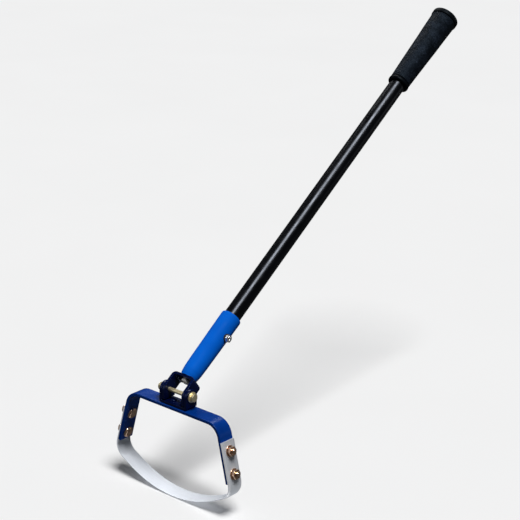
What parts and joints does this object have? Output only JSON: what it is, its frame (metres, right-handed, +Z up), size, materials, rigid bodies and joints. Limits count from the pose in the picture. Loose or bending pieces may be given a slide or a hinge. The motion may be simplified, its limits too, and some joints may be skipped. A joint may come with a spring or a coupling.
{
  "type": "stirrup hoe",
  "caption": "Long-handled stand-up weeder: a tube handle with a foam grip and a blue socket whose fork carries a swinging stirrup with a curved steel blade.",
  "frame": {"origin": "middle of the foam grip, on the handle's axis, where the upper hand holds the tool", "axes": "+Z up in the working pose, +Y horizontal away from the working side towards the user's hands, +X across the tool along the pivot bolt, towards the bolt's head"},
  "size_m": [0.234, 0.6454, 0.6315],
  "materials": {
    "tube_black": "glossy black paint",
    "grip_foam": "fine-textured charcoal foam",
    "grip_trim": "smooth dark rubber, slightly glossy",
    "socket_blue": "glossy bright blue paint",
    "plug_steel": "grey zinc plate",
    "screw_chrome": "bright plate",
    "seal_dark": "matte",
    "fork_navy": "glossy very dark navy paint",
    "pivot_zinc": "dull yellow zinc plate",
    "nylon": "matte",
    "bushing": "plain",
    "stirrup_blue": "glossy royal blue paint",
    "blade_steel": "satin",
    "bolt_copper": "copper-coloured plate"
  },
  "bodies": {
    "handle": {"handle_tube": "tube_black", "grip_collar": "grip_trim", "grip_sleeve": "grip_foam", "grip_end_cap": "grip_trim", "ferrule": "socket_blue", "ferrule_plug": "plug_steel", "ferrule_screw": "screw_chrome", "ferrule_washer": "seal_dark", "yoke": "fork_navy", "yoke_nut": "plug_steel", "pivot_bolt": "pivot_zinc", "pivot_washers": "pivot_zinc", "pivot_nut": "pivot_zinc", "pivot_nut_insert": "nylon"},
    "head": {"stirrup_bracket": "fork_navy", "bracket_rivets": "fork_navy", "pivot_bushings": "bushing", "stirrup_frame": "stirrup_blue", "blade": "blade_steel", "blade_bolts": "bolt_copper", "blade_washers": "bolt_copper", "blade_nuts": "bolt_copper"}
  },
  "joints": [
    {"name": "head_swing", "type": "hinge", "parent": "handle", "child": "head", "pos_m": [0, -0.55734, -0.41016], "axis": [1, 0, 0], "range_deg": [-12, 12]}
  ]
}
